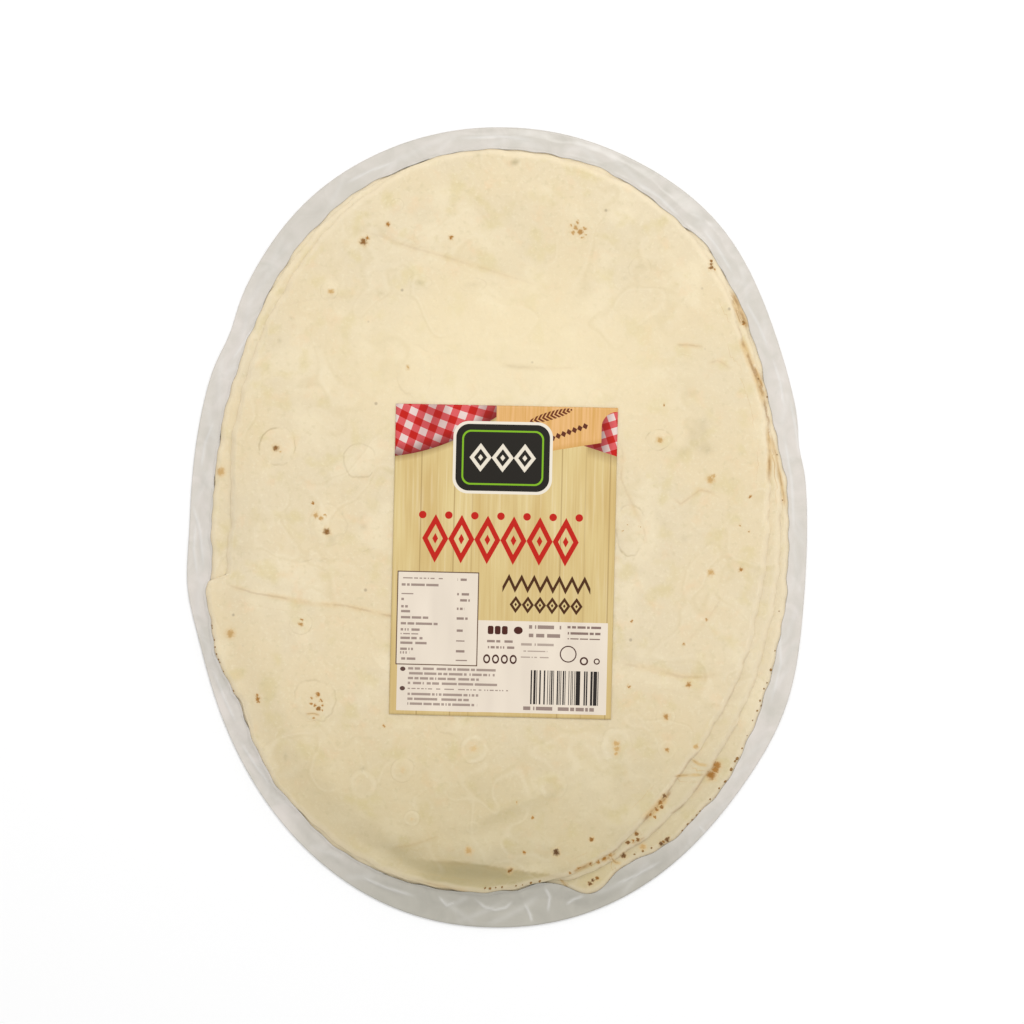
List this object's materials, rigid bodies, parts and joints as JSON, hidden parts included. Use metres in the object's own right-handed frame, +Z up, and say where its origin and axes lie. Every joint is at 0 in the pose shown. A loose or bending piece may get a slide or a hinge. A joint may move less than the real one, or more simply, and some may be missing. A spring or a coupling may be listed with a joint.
{
  "type": "bagged stack of oval tandoor lavash flatbreads",
  "caption": "Clear oval film bag lying flat, filled with a stack of large thin oval flatbreads, with a rectangular paper label on its front.",
  "frame": {"origin": "on the surface the bag lies on, under the middle of the bag's outline", "axes": "+X to the label's right, +Y to the label's top and along the bag's longer side, +Z up through the stack, out of the labelled front"},
  "size_m": [0.2822, 0.3642, 0.0121],
  "materials": {
    "bread_under_film": "toasted cream flatbread seen through thin clear film",
    "label_paper": "printed satin paper label"
  },
  "bodies": {
    "root": {"bag": "bread_under_film", "label": "label_paper"}
  },
  "joints": []
}
